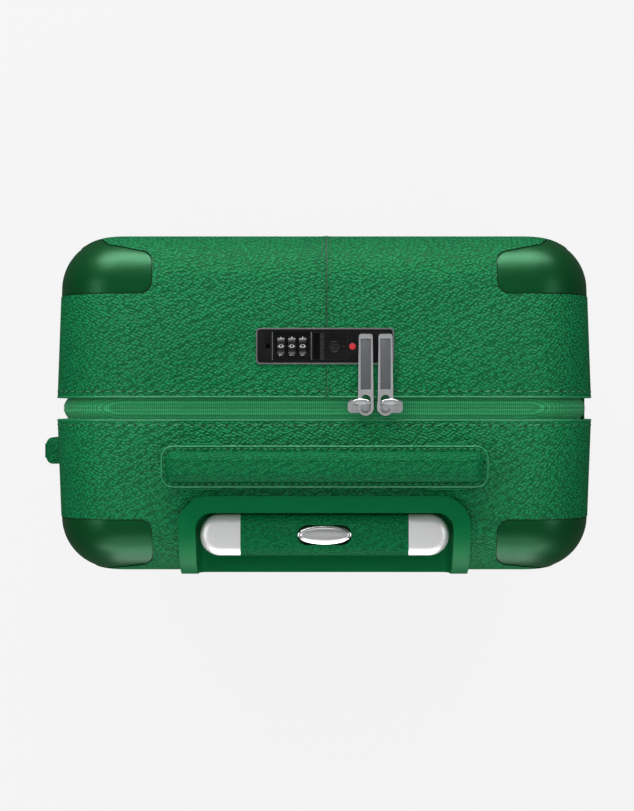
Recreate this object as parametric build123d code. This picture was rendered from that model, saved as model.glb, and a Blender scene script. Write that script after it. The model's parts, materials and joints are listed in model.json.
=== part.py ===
from build123d import *
import math
import os

# Hard shell cabin suitcase on four twin-wheel casters, in millimetres.
# +Z is up. The lid is the front half (towards -Y), the base is the rear half (towards +Y).
# It is modelled about the middle of the case and moved at the end, so that the origin
# is at the middle of the whole object's footprint, on the floor.

# ---- driving dimensions ----
CASE_WIDTH = 366.0          # over the leather, at the rims
CASE_DEPTH = 227.0          # front face to rear face
CASE_BOTTOM = 40.0          # underside of the case above the floor
CASE_TOP = 526.0            # top face of the case
SIDE_DRAFT = 4.0            # each side wall leans in by this much from rim to face
CORNER_RADIUS = 46.0        # of the case seen from the front
EDGE_RADIUS = 36.0          # round the front face and the rear face

LID_RIM = -3.4              # Y of the lid's rim
BASE_RIM = 11.2             # Y of the base's rim
ZIP_LINE = 3.5              # Y of the gap between the two zip tapes

LEATHER = 1.4               # thicknesses, from the outside in
SHELL = 2.2
TAPE_INSET = 4.2
TAPE = 0.8
COIL = 1.4
LINING_INSET = 4.0
LINING = 0.8
TAPE_REACH = 10.6           # the tape runs this far in behind each rim
ZIP_SLOT = 1.8              # gap between the tapes, which the slider's post runs in

GUARD_LENGTH = 68.0         # corner guards, from the side of the case inwards
GUARD_INSET = 0.4           # a guard lies this much below the leather
GUARD_GAP = 0.5             # outline gap between a guard and the leather
GUARD_CORNER = 8.5

HANDLE_LENGTH = 216.0       # carry handles
HANDLE_WIDTH = 27.4
HANDLE_TRAVEL = 12.0        # a carry handle lifts this far
HANDLE_STOP = 17.5          # the feet of its legs hang this far under the case's face at rest
HANDLE_FLOOR = 8.0          # underside of a carry handle above the case
HANDLE_PROUD = 22.6         # outer face of a carry handle above the case
TOP_HANDLE_Y = 42.0
SIDE_HANDLE_Y = 35.0

BEZEL_HALF = 96.9           # trolley handle's frame
BEZEL_FRONT = 61.9
BEZEL_BAND = 11.2
BEZEL_PROUD = 3.0
CUP_DEPTH = 48.0
CUP_WALL = 2.5

TUBE_X = 68.0               # trolley tubes, one each side
TUBE_Y = 87.75
OUTER_TUBE = (24.0, 16.0)
MIDDLE_TUBE = (20.8, 12.8)
INNER_TUBE = (17.6, 9.6)
TUBE_WALL = 1.2
TUBE_FOOT = 64.0            # the outer tubes stand on their bracket at this height

GRIP_HALF = 83.0
GRIP_DEPTH = 27.9
GRIP_BOTTOM = CASE_TOP - 20.0
GRIP_TOP = CASE_TOP + 2.0
CAP_INNER = 55.8            # the end caps start here
BUTTON = (35.5, 12.7)
BUTTON_TRAVEL = 3.0         # the button goes down this far

CASTER_X = 128.0
CASTER_Y = 66.0
WHEEL_RADIUS = 24.0
WHEEL_WIDTH = 10.5
HUB_RADIUS = 17.0
TRAIL = 12.0                # the axle stands this far from the swivel pin
CUP_RADIUS = 38.0
CUP_CEILING = 56.5

LOCK_X = (-46.2, 45.5)
LOCK_Y = (-49.7, -25.5)
LOCK_TOP = CASE_TOP + 1.0
DIAL_X = (28.9, 21.7, 14.5)
DIAL_Y = -37.7
DIAL_RADIUS = 10.0
DIAL_WIDTH = 4.8
KEY_X = -6.6
KEY_RADIUS = 3.1
RELEASE_TRAVEL = 3.8        # the release bar slides this far towards the dials

PULL_WIDTH = 10.3
PULL_THICK = 2.0
PULL_TIP = -45.6
PULL_TAIL = 8.6
PULL_BOTTOM = CASE_TOP + 1.7
SLIDER_X = {"right": -24.0, "left": -43.5}
PULL_X = {"right": -27.3, "left": -40.4}
BRIDGE_Y = 0.2

FIT = 0.05                  # radial clearance of a pin in its bore
GAP = 0.3                   # clearance between pieces that move past each other

# ---- the origin, worked out from the outermost pieces ----
SIDE_REACH = CASE_WIDTH / 2 + HANDLE_PROUD
ORIGIN_X = (SIDE_REACH - CASE_WIDTH / 2) / 2
ORIGIN_Y = BEZEL_PROUD / 2

MIDDLE_Z = (CASE_TOP + CASE_BOTTOM) / 2
FAR = 400.0                 # longer than any cut


# ---- helpers ----
def block(low, high):
    """A box from its low corner to its high corner."""
    size = [h - l for l, h in zip(low, high)]
    centre = [(l + h) / 2 for l, h in zip(low, high)]
    return Pos(*centre) * Box(*size)


def rod(radius, low_z, high_z, x=0.0, y=0.0):
    """An upright cylinder."""
    return Pos(x, y, (low_z + high_z) / 2) * Cylinder(radius, high_z - low_z)


def cross_rod(radius, low_x, high_x, y, z):
    """A cylinder along X."""
    return Pos((low_x + high_x) / 2, y, z) * Rot(0, 90, 0) * Cylinder(radius, high_x - low_x)


def plate(width, depth, radius, low_z, high_z, x=0.0, y=0.0):
    """A flat plate with rounded corners, lying in XY."""
    return Pos(x, y, low_z) * extrude(RectangleRounded(width, depth, radius), amount=high_z - low_z)


def tube(outer, wall, low_z, high_z, x, y):
    """An upright rectangular tube."""
    width, depth = outer
    skin = plate(width, depth, 4.0, low_z, high_z, x, y)
    return skin - plate(width - 2 * wall, depth - 2 * wall, 4.0 - wall, low_z, high_z, x, y)


def write(name, pieces):
    """Write one node, moved to the object's origin, from one solid or several."""
    solids = [solid for piece in pieces for solid in piece.solids()]
    node = Pos(-ORIGIN_X, -ORIGIN_Y, 0) * (solids[0] if len(solids) == 1 else Compound(children=solids))
    export_step(node, f"parts/{name}.step")
    print(name, len(solids), round(sum(solid.volume for solid in solids)))


# ---- the case ----
def half_body(side, inset):
    """One half of the case as a full solid: side -1 is the lid, +1 the base.
    Every face but the rim is moved in by inset."""
    rim = LID_RIM if side < 0 else BASE_RIM
    face = side * (CASE_DEPTH / 2 - inset)
    height = CASE_TOP - CASE_BOTTOM - 2 * inset
    outlines = []
    for y, width in ((rim, CASE_WIDTH), (face, CASE_WIDTH - 2 * SIDE_DRAFT)):
        plane = Plane(origin=(0, y, MIDDLE_Z), x_dir=(1, 0, 0), z_dir=(0, 1, 0))
        outlines.append(plane * RectangleRounded(width - 2 * inset, height, CORNER_RADIUS - inset))
    solid = loft(outlines)
    end_face = solid.faces().sort_by(Axis.Y)[0 if side < 0 else -1]
    return fillet(end_face.edges(), EDGE_RADIUS - inset)


def ring(low_y, high_y, inset, thick):
    """A band that follows the rims right round the case."""
    height = CASE_TOP - CASE_BOTTOM
    plane = Plane(origin=(0, low_y, MIDDLE_Z), x_dir=(1, 0, 0), z_dir=(0, 1, 0))
    outer = RectangleRounded(CASE_WIDTH - 2 * inset, height - 2 * inset, CORNER_RADIUS - inset)
    inner_inset = inset + thick
    inner = RectangleRounded(
        CASE_WIDTH - 2 * inner_inset, height - 2 * inner_inset, CORNER_RADIUS - inner_inset
    )
    return extrude(plane * (outer - inner), amount=high_y - low_y)


def guard_region(side, hand, level, grow=0.0):
    """The space that a corner guard fills: hand is -1 left or +1 right, level +1 top or -1 bottom.
    It is the same lobe on the top face and on the side face. Its outer part wraps the whole corner
    and runs on to the front or rear face."""
    reach = GUARD_LENGTH + grow
    near, far, crest = (73.0, 100.0, 106.5) if side < 0 else (78.0, 108.0, 111.5)
    near = near - grow
    far = far + grow
    crest = crest + grow
    start = CASE_WIDTH / 2 - reach
    lobe = [(start, near), (FAR, near), (FAR, FAR), (start + 46, FAR), (start + 46, crest + 12),
            (start + 31, crest), (start, far)]
    sketch = make_face(Polyline(*lobe, close=True))
    inner_corners = sketch.vertices().filter_by(lambda v: abs(v.X - start) < 0.01)
    sketch = fillet(inner_corners, GUARD_CORNER)
    over_top = extrude(sketch, amount=FAR)
    over_top = Pos(0, 0, MIDDLE_Z) * over_top
    over_side = Pos(0, 0, CASE_TOP - CASE_WIDTH / 2) * Rot(0, -90, 0) * extrude(sketch, amount=FAR, both=True)
    region = over_top & over_side
    if level < 0:
        region = mirror(region, Plane.XY.offset(MIDDLE_Z))
    if hand < 0:
        region = mirror(region, Plane.YZ)
    if side < 0:
        region = mirror(region, Plane.XZ)
    return region


def caster_places(side):
    """The two swivel centres of one half of the case, left then right."""
    return [(-CASTER_X, side * CASTER_Y), (CASTER_X, side * CASTER_Y)]


def caster_cut(side, gap=0.0):
    """The round wells that the wheel housings fill."""
    radius = CUP_RADIUS + 2.0 + gap
    wells = [rod(radius, 0, CUP_CEILING + 2.5 + gap, x, y) for x, y in caster_places(side)]
    return wells[0] + wells[1]


def bezel_block(margin):
    """The trolley frame's outline, open to the rear and to the top; margin shrinks it."""
    half = BEZEL_HALF - margin
    radius = 20.0 - margin * 0.8
    low_z = CASE_TOP - CUP_DEPTH - BEZEL_BAND + margin
    solid = block((-half, BEZEL_FRONT + margin, low_z), (half, 140, CASE_TOP + 30))
    front_edges = solid.edges().filter_by(Axis.Z).sort_by(Axis.Y)[:2]
    solid = fillet(front_edges, radius)
    low_edges = solid.edges().filter_by(Axis.Y).sort_by(Axis.Z)[:2]
    return fillet(low_edges, radius * 0.6)


def leg_places():
    """The carry handles' legs along the handle, from its middle."""
    return (-82.0, 82.0)


def on_side(piece):
    """Turn a piece that is modelled over the top face, centred on X=0 and Y=0, to the right side."""
    return Pos(CASE_WIDTH / 2, SIDE_HANDLE_Y, MIDDLE_Z) * Rot(0, 90, 0) * piece


def on_top(piece):
    """Move a piece that is modelled on Z=0, centred on X=0 and Y=0, to the top face."""
    return Pos(0, TOP_HANDLE_Y, CASE_TOP) * piece


def leg_slots(gap):
    """The slots that the carry handles' legs slide in."""
    deep = HANDLE_STOP + HANDLE_TRAVEL
    slots = [block((x - 10.5 - gap, -2 - gap, -deep), (x + 10.5 + gap, 2 + gap, 4)) for x in leg_places()]
    pair = slots[0] + slots[1]
    return on_top(pair) + on_side(pair)


def lock_hole(gap=0.0):
    """The hole in the lid's top for the lock body."""
    return block(
        (LOCK_X[0] + 2 - gap, LOCK_Y[0] + 2 - gap, CASE_TOP - 40),
        (LOCK_X[1] - 2 + gap, LOCK_Y[1] - 2 + gap, CASE_TOP + 10),
    )


def make_case_half(side, name):
    """Leather, shell, lining, guards and wheel housings of one half."""
    outer = half_body(side, 0)
    shell_face = half_body(side, LEATHER)
    leather = outer - shell_face
    shell = shell_face - half_body(side, LEATHER + SHELL)
    lining = half_body(side, LINING_INSET) - half_body(side, LINING_INSET + LINING)
    rim = LID_RIM if side < 0 else BASE_RIM
    behind_tape = rim + side * (TAPE_REACH + 0.5)
    keep = sorted((behind_tape, side * FAR))
    lining = lining & block((-FAR, keep[0], -FAR), (FAR, keep[1], 2 * FAR))

    guard_skin = half_body(side, GUARD_INSET) - shell_face
    guards = []
    for hand in (-1, 1):
        leather = leather - guard_region(side, hand, 1, GUARD_GAP)
        leather = leather - guard_region(side, hand, -1, GUARD_GAP)
        guards.append(guard_skin & guard_region(side, hand, 1))
    well = caster_cut(side)
    leather = leather - well
    shell = shell - well
    lining = lining - caster_cut(side, 0.5)

    if side < 0:
        leather = leather - lock_hole()
        shell = shell - lock_hole()
        lining = lining - lock_hole(0.5)
    else:
        cup = bezel_block(BEZEL_BAND - CUP_WALL)
        leather = leather - cup - leg_slots(0)
        shell = shell - cup - leg_slots(0)
        lining = lining - bezel_block(BEZEL_BAND - CUP_WALL - 0.5) - leg_slots(8)
    write(f"{name}_leather", [leather])
    write(f"{name}_shell", [shell])
    write(f"{name}_lining", [lining])
    write(f"{name}_corner_guards", guards)

    end = "front" if side < 0 else "rear"
    for hand, word, place in zip((-1, 1), ("left", "right"), caster_places(side)):
        write(f"{end}_wheel_housing_{word}", [make_housing(side, hand, place, guard_skin)])
    write(f"{name}_caster_fixings", make_caster_fixings(side))


def make_housing(side, hand, place, guard_skin):
    """A wheel well with the bottom corner guard round it."""
    x, y = place
    cup = rod(CUP_RADIUS + 2, CASE_BOTTOM - 2, CUP_CEILING + 2.5, x, y)
    lobe = guard_skin & guard_region(side, hand, -1)
    housing = lobe + cup
    housing = housing - rod(CUP_RADIUS, 0, CUP_CEILING, x, y)
    return housing - rod(4.0, CUP_CEILING - 1, CUP_CEILING + 5, x, y)


def make_caster_fixings(side):
    """The swivel pins, pressed into the housings, and the screws that hold the housings."""
    pieces = []
    for x, y in caster_places(side):
        pin = rod(4.0, 50.5, CUP_CEILING + 2.5, x, y)
        pieces.append(pin + rod(6.0, CUP_CEILING + 2.5, CUP_CEILING + 4.0, x, y))
        for turn in range(4):
            angle = math.radians(45 + 90 * turn)
            screw_x = x + 26 * math.cos(angle)
            screw_y = y + 26 * math.sin(angle)
            pieces.append(rod(3.6, CUP_CEILING + 2.5, CUP_CEILING + 4.3, screw_x, screw_y))
    return pieces


# ---- the zip ----
def make_zip():
    """Two tapes that run right round, each with its coil behind it."""
    lid_edge = ZIP_LINE - ZIP_SLOT / 2
    base_edge = ZIP_LINE + ZIP_SLOT / 2
    coil_inset = TAPE_INSET + TAPE
    lid_tape = ring(LID_RIM - TAPE_REACH, lid_edge, TAPE_INSET, TAPE)
    base_tape = ring(base_edge, BASE_RIM + TAPE_REACH, TAPE_INSET, TAPE)
    base_tape = base_tape - leg_slots(1.0)
    write("lid_zip_tape", [lid_tape, ring(lid_edge - 2.4, lid_edge, coil_inset, COIL)])
    write("base_zip_tape", [base_tape, ring(base_edge, base_edge + 2.4, coil_inset, COIL)])


def make_slider(x):
    """A slider: a plate over the tape and one under the coils, a post between, and the bridge."""
    top = plate(17.0, 8.6, 2.6, CASE_TOP - TAPE_INSET + GAP, CASE_TOP - 2.4, x, ZIP_LINE - 1.0)
    low_top = CASE_TOP - TAPE_INSET - TAPE - COIL - GAP
    low = plate(15.0, 7.4, 2.0, low_top - 1.4, low_top, x, ZIP_LINE)
    post = block((x - 5, ZIP_LINE - 0.6, low_top - 0.5), (x + 5, ZIP_LINE + 0.6, CASE_TOP - 3))
    foot = CASE_TOP - 3.0
    height = CASE_TOP + 5.5
    path = FilletPolyline(
        (x - 5.0, BRIDGE_Y, foot), (x - 5.0, BRIDGE_Y, height), (x + 5.0, BRIDGE_Y, height),
        (x + 5.0, BRIDGE_Y, foot), radius=2.4
    )
    section = Plane(origin=path @ 0, z_dir=path % 0) * Circle(1.1)
    return top + low + post + sweep(section, path=path)


def make_pull(x):
    """A zip pull: a flat tapered tab with a raised rim, and a slot in its round tail for the bridge."""
    neck_y = PULL_TAIL - PULL_WIDTH / 2
    half = PULL_WIDTH / 2
    tip_half = half - 0.6
    outline = Polyline(
        (x - half, neck_y), (x - tip_half, PULL_TIP), (x + tip_half, PULL_TIP), (x + half, neck_y), close=True
    )
    tab = make_face(outline)
    tips = tab.vertices().sort_by(Axis.Y)[:2]
    tab = fillet(tips, 1.6)
    tab = tab + Pos(x, neck_y) * Circle(half)
    solid = Pos(0, 0, PULL_BOTTOM) * extrude(tab, amount=PULL_THICK)
    slot = plate(PULL_WIDTH - 3.7, 12.0, 3.25, 0, FAR * 2, x, 0.8)
    panel = plate(PULL_WIDTH - 3.4, 34.0, 0.9, PULL_BOTTOM + PULL_THICK - 0.5, FAR * 2, x, -25.6)
    return solid - slot - panel


# ---- the lock ----
def make_lock():
    """The lock body with its wells, its bright frame, the dials' axle and the moving pieces."""
    mid_x = sum(LOCK_X) / 2
    mid_y = sum(LOCK_Y) / 2
    width = LOCK_X[1] - LOCK_X[0]
    depth = LOCK_Y[1] - LOCK_Y[0]
    face = plate(width - 2.0, depth - 2.0, 2.0, CASE_TOP, CASE_TOP + 0.7, mid_x, mid_y)
    inside = plate(width - 4.4, depth - 4.4, 2.0, CASE_TOP - 21, CASE_TOP + 0.1, mid_x, mid_y)
    body = face + inside
    body = body - block((8.8, -47.0, CASE_TOP - 0.8), (34.5, -28.3, CASE_TOP + 2))
    for x in DIAL_X:
        half = DIAL_WIDTH / 2 + GAP
        well = block((x - half, DIAL_Y - 10.6, CASE_TOP - 19.6), (x + half, DIAL_Y + 10.6, CASE_TOP + 2))
        body = body - well
    axle_z = LOCK_TOP - DIAL_RADIUS
    body = body - cross_rod(1.5, 9.0, 34.4, DIAL_Y, axle_z)
    body = body - block((-GAP, -46.5, CASE_TOP - 3), (3.0 + RELEASE_TRAVEL + 0.4, -28.1, CASE_TOP + 2))
    body = body - rod(KEY_RADIUS + FIT, CASE_TOP - 15, CASE_TOP + 2, KEY_X, -37.2)
    body = body - rod(1.6, CASE_TOP - 4, CASE_TOP + 2, 37.4, -37.5)
    body = body - rod(2.2, CASE_TOP - 0.5, CASE_TOP + 2, -18.6, -37.4)
    write("lock_body", [body])

    rim = plate(width, depth, 2.7, CASE_TOP, LOCK_TOP, mid_x, mid_y)
    rim = rim - plate(width - 2.0, depth - 2.0, 2.0, 0, FAR * 2, mid_x, mid_y)
    write("lock_frame", [rim])
    axle = cross_rod(1.5, 9.0, 34.4, DIAL_Y, axle_z)
    write("dial_axle", [axle])
    for number, x in enumerate(DIAL_X, start=1):
        dial = cross_rod(DIAL_RADIUS, x - DIAL_WIDTH / 2, x + DIAL_WIDTH / 2, DIAL_Y, axle_z)
        dial = dial - cross_rod(1.5 + FIT, x - 5, x + 5, DIAL_Y, axle_z)
        for notch in range(10):
            angle = math.radians(36 * notch + 18)
            y = DIAL_Y + 10.4 * math.cos(angle)
            z = axle_z + 10.4 * math.sin(angle)
            dial = dial - cross_rod(0.7, x - 4, x + 4, y, z)
        write(f"dial_{number}", [dial])

    release = block((0, -46.2, CASE_TOP - 2.7), (3.0, -28.4, LOCK_TOP))
    for groove in range(7):
        y = -44.4 + 2.35 * groove
        release = release - block((-1, y - 0.35, LOCK_TOP - 0.4), (4, y + 0.35, LOCK_TOP + 1))
    write("lock_release", [release])
    key = rod(KEY_RADIUS, CASE_TOP - 14.7, CASE_TOP + 0.6, KEY_X, -37.2)
    key = key - block((KEY_X - 2.0, -37.55, CASE_TOP - 9), (KEY_X + 2.0, -36.85, CASE_TOP + 2))
    write("key_cylinder", [key])
    write("lock_mark", [rod(2.2, CASE_TOP - 0.5, CASE_TOP + 0.8, -18.6, -37.4)])


# ---- carry handles ----
def make_carry_handle(name, place):
    """A padded handle on two legs that slide through anchor plates."""
    core_low = HANDLE_FLOOR + 2.6
    core = block((-100, -8, core_low), (100, 8, core_low + 4.0))
    for x in leg_places():
        core = core + block((x - 10, -1.5, -HANDLE_STOP), (x + 10, 1.5, core_low + 1))
        core = core + block((x - 10, -4.5, -HANDLE_STOP - 2.0), (x + 10, 4.5, -HANDLE_STOP))
    flange = plate(HANDLE_LENGTH, HANDLE_WIDTH, 8.0, HANDLE_FLOOR, HANDLE_FLOOR + 2.6)
    pad = plate(HANDLE_LENGTH - 8, HANDLE_WIDTH - 7.4, 5.0, HANDLE_FLOOR + 2.6, HANDLE_PROUD)
    top_edges = pad.faces().sort_by(Axis.Z)[-1].edges()
    pad = flange + fillet(top_edges, 4.5)
    pad = pad - block((-100, -8, core_low), (100, 8, core_low + 4.0))
    for x in leg_places():
        pad = pad - block((x - 10, -1.5, 0), (x + 10, 1.5, core_low + 1))
    write(f"{name}_core", [place(core)])
    write(f"{name}_pad", [place(pad)])
    case = half_body(1, 0)
    anchors = []
    for x in leg_places():
        base = plate(30.0, 31.0, 4.0, -0.9 if name == "side_handle" else 0, 5.0, x, 0)
        hole = block((x - 10 - GAP, -1.5 - GAP, -5), (x + 10 + GAP, 1.5 + GAP, 8))
        anchors.append(place(base - hole) - case)
    return anchors


# ---- trolley handle ----
def make_trolley():
    """The frame and its cup, the three pairs of tubes, the grip and its button."""
    body = half_body(1, 0)
    band = half_body(1, -BEZEL_PROUD) - body
    band = band & (bezel_block(0) - bezel_block(BEZEL_BAND))
    cup = (bezel_block(BEZEL_BAND - CUP_WALL) - bezel_block(BEZEL_BAND)) & body
    bezel = band + cup
    sides = (-1, 1)
    outer_hole = (OUTER_TUBE[0] - 2 * TUBE_WALL, OUTER_TUBE[1] - 2 * TUBE_WALL)
    for side in sides:
        bezel = bezel - plate(*outer_hole, 2.8, 400, CASE_TOP - 40, side * TUBE_X, TUBE_Y)
    write("handle_bezel", [bezel])

    cup_floor = CASE_TOP - CUP_DEPTH
    tube_top = cup_floor - CUP_WALL
    outer = [tube(OUTER_TUBE, TUBE_WALL, TUBE_FOOT, tube_top, side * TUBE_X, TUBE_Y) for side in sides]
    write("outer_tubes", outer)
    middle = []
    inner = []
    for side in sides:
        x = side * TUBE_X
        stage = tube(MIDDLE_TUBE, TUBE_WALL, TUBE_FOOT + 7, cup_floor + 8, x, TUBE_Y)
        collar = tube((23.6, 15.6), 1.4, cup_floor + 2, cup_floor + 8, x, TUBE_Y)
        middle.append(stage + collar)
        inner.append(tube(INNER_TUBE, TUBE_WALL, TUBE_FOOT + 14, GRIP_BOTTOM, x, TUBE_Y))
    write("middle_tubes", middle)
    write("inner_tubes", inner)

    foot = block((-TUBE_X - 16, TUBE_Y - 11, TUBE_FOOT - 3), (TUBE_X + 16, TUBE_Y + 11, TUBE_FOOT))
    foot = foot - block((-TUBE_X + 16, TUBE_Y - 3, 40), (TUBE_X - 16, TUBE_Y + 14, TUBE_FOOT + 8))
    write("tube_foot_bracket", [foot])
    cover_top = tube_top - 1
    cover = block((-86, 72.0, 68), (86, 104.0, cover_top))
    cover = cover - block((-84.5, 73.5, 50), (84.5, 110, cover_top + 5))
    write("tube_channel_cover", [cover & half_body(1, LINING_INSET + LINING + 0.2)])


def make_grip():
    """A hard core between two end caps, a leather sleeve round its middle, and the button."""
    radius = GRIP_DEPTH / 2
    grip = plate(2 * GRIP_HALF, GRIP_DEPTH, radius - 0.1, GRIP_BOTTOM, GRIP_TOP, 0, TUBE_Y)
    rims = grip.faces().filter_by(Axis.Z).edges()
    grip = fillet(rims, 6.5)
    middle = block((-CAP_INNER, 0, 0), (CAP_INNER, 200, 2 * FAR))
    sleeve_hole = plate(400, GRIP_DEPTH - 4, 5.0, GRIP_BOTTOM + 2, GRIP_TOP - 2, 0, TUBE_Y)
    leather = (grip & middle) - sleeve_hole
    core = plate(2 * CAP_INNER + 30, GRIP_DEPTH - 4, 5.0, GRIP_BOTTOM + 2, GRIP_TOP - 2, 0, TUBE_Y)
    caps = [side for side in (grip - middle - core).solids()]
    width, depth = BUTTON
    well_size = (width + 2 * GAP, depth + 2 * GAP, depth / 2 + GAP - 0.1)
    well = plate(*well_size, GRIP_TOP - 9, GRIP_TOP + 9, 0, TUBE_Y)
    write("grip_leather", [leather - well])
    write("grip_core", [core - well])
    write("grip_end_caps", caps)
    button_floor = GRIP_TOP - 9 + BUTTON_TRAVEL + 0.8
    button = plate(width, depth, depth / 2 - 0.1, button_floor, GRIP_TOP + 0.8, 0, TUBE_Y)
    button = fillet(button.faces().sort_by(Axis.Z)[-1].edges(), 0.6)
    write("grip_button", [button])
    spring = rod(3.0, GRIP_TOP - 9, button_floor, 0, TUBE_Y) - rod(2.2, 0, 2 * FAR, 0, TUBE_Y)
    write("button_spring", [spring])


# ---- casters ----
def make_caster(x, y, name):
    """A fork that turns on the swivel pin, and twin wheels on one axle behind it."""
    crown = rod(20.0, 49.5, CUP_CEILING - GAP, x, y)
    crown = crown - rod(4.0 + FIT, 50.2, CUP_CEILING + 5, x, y)
    leg = block((x - 4, y - 8, 30), (x + 4, y + TRAIL + 7, 49.8))
    leg = leg + cross_rod(8.0, x - 4, x + 4, y + TRAIL, WHEEL_RADIUS)
    leg = leg + block((x - 4, y + TRAIL - 8, WHEEL_RADIUS), (x + 4, y + TRAIL + 8, 40))
    fork = crown + leg - cross_rod(3.0 + FIT, x - 6, x + 6, y + TRAIL, WHEEL_RADIUS)
    write(f"{name}_fork", [fork])

    core = cross_rod(3.0, x - 14, x + 14, y + TRAIL, WHEEL_RADIUS)
    tyres = []
    for side in (-1, 1):
        near = x + side * (4 + 0.6)
        far = near + side * WHEEL_WIDTH
        low, high = sorted((near, far))
        hub = cross_rod(HUB_RADIUS, low, high, y + TRAIL, WHEEL_RADIUS)
        dish_low, dish_high = sorted((far - side * 2.0, far + side * 5.0))
        hub = hub - cross_rod(13.5, dish_low, dish_high, y + TRAIL, WHEEL_RADIUS)
        cap_low, cap_high = sorted((far - side * 3.0, far - side * 0.6))
        core = core + hub + cross_rod(5.5, cap_low, cap_high, y + TRAIL, WHEEL_RADIUS)
        tyre = cross_rod(WHEEL_RADIUS, low, high, y + TRAIL, WHEEL_RADIUS)
        tyre = fillet(tyre.edges().filter_by(GeomType.CIRCLE), 2.2)
        tyres.append(tyre - cross_rod(HUB_RADIUS, low - 5, high + 5, y + TRAIL, WHEEL_RADIUS))
    write(f"{name}_wheels", [core])
    write(f"{name}_tyres", tyres)


# ---- inside ----
def make_inside():
    """Packing straps on the tube channel's cover, each with a buckle, and the lid's flat pocket."""
    straps = []
    for x in (-60.0, 60.0):
        webbing = block((x - 12, 70.4, 46), (x + 12, 71.8, 474))
        straps.append(webbing + block((x - 16, 67.4, 270), (x + 16, 71.8, 296)))
    write("packing_straps", straps)
    write("lid_pocket", [block((-140, -107.8, 90), (140, -106.4, 400))])


def main():
    os.makedirs("parts", exist_ok=True)
    make_case_half(1, "base")
    make_case_half(-1, "lid")
    make_zip()
    for hand in ("right", "left"):
        write(f"zip_slider_{hand}", [make_slider(SLIDER_X[hand])])
        write(f"zip_pull_{hand}", [make_pull(PULL_X[hand])])
    make_lock()
    write("top_handle_anchors", make_carry_handle("top_handle", on_top))
    write("side_handle_anchors", make_carry_handle("side_handle", on_side))
    make_trolley()
    make_grip()
    make_inside()
    for side, end in ((1, "rear"), (-1, "front")):
        for (x, y), word in zip(caster_places(side), ("left", "right")):
            make_caster(x, y, f"{end}_{word}")


main()
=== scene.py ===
# %% [markdown]
# # A hard shell suitcase, faced in pebbled green leather
# The working model is already there: every shell, tube, wheel and hinge at its true size. This notebook
# gives it its looks. Each step says what the real piece or finish is, how it could be made, and why it is
# made this way. Lengths are in metres, and a length given in millimetres is multiplied by MM.

# %% Load the working model
import json
import math
import bmesh
import bpy
from mathutils import Matrix, Vector


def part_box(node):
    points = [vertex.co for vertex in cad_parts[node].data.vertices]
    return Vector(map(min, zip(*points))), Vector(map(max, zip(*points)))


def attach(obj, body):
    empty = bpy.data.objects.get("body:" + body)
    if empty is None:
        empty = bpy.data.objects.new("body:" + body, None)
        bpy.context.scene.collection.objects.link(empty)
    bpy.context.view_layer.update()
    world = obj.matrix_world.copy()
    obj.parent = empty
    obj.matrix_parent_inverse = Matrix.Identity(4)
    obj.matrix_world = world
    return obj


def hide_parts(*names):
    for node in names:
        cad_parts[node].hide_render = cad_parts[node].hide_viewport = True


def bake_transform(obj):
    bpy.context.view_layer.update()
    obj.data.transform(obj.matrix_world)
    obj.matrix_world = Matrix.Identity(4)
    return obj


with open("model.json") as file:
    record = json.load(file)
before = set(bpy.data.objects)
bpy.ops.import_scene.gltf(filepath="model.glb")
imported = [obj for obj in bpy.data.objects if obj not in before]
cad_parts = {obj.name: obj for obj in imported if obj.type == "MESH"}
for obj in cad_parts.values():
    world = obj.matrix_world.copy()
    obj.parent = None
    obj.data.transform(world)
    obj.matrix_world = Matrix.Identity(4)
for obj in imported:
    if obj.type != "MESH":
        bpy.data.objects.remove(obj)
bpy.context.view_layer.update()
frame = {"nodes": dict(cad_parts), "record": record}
node_body = {n: b for b, nodes in frame["record"]["behaviour"]["bodies"].items() for n in nodes}
print("loaded", len(frame["nodes"]), "nodes")

# %% [markdown]
# ## Places
# The pieces that are added here must land on the working model, so their places are read from its boxes.
# Only what a box can't say, such as a seam's distance from an edge, is a value of its own.

# %% Places read from the model
MM = 0.001
lid_low, lid_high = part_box("lid_leather")
base_low, base_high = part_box("base_leather")
MID_X = (lid_low.x + lid_high.x) / 2
TOP = lid_high.z
BOTTOM = lid_low.z
MID_Z = (TOP + BOTTOM) / 2
HALF_W = (lid_high.x - lid_low.x) / 2
HALF_H = (TOP - BOTTOM) / 2
LID_RIM = lid_high.y
BASE_RIM = base_low.y
FRONT = lid_low.y
REAR = base_high.y
CORNER_R = 46 * MM
EDGE_R = 36 * MM
DRAFT = 4 * MM
print("case", [round(v * 1000, 1) for v in (2 * HALF_W, REAR - FRONT, TOP - BOTTOM)], "mm")


# %% [markdown]
# ## Helpers
# An operator works on whatever is selected, so every step starts by selecting one object. Each new piece
# ends with its place in its mesh, rides on a body of the model, and hides the plain node it stands for.

# %% Selection, finishing and riding
def pick(obj):
    """Select one object alone and make it active."""
    bpy.ops.object.select_all(action="DESELECT")
    obj.select_set(True)
    bpy.context.view_layer.objects.active = obj
    return obj


def settle(obj):
    """Put an object's place, turn and scale into its mesh."""
    pick(obj)
    bpy.ops.object.transform_apply(location=True, rotation=True, scale=True)
    return obj


def apply_all(obj):
    """Apply every modifier in order."""
    pick(obj)
    for name in [m.name for m in obj.modifiers]:
        bpy.ops.object.modifier_apply(modifier=name)
    return obj


def modify(obj, kind, **settings):
    """Add a modifier and set it."""
    modifier = obj.modifiers.new(kind.title(), kind)
    for key, value in settings.items():
        setattr(modifier, key, value)
    return modifier


def smooth(obj, degrees=35):
    pick(obj)
    bpy.ops.object.shade_smooth_by_angle(angle=math.radians(degrees))
    return obj


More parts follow.
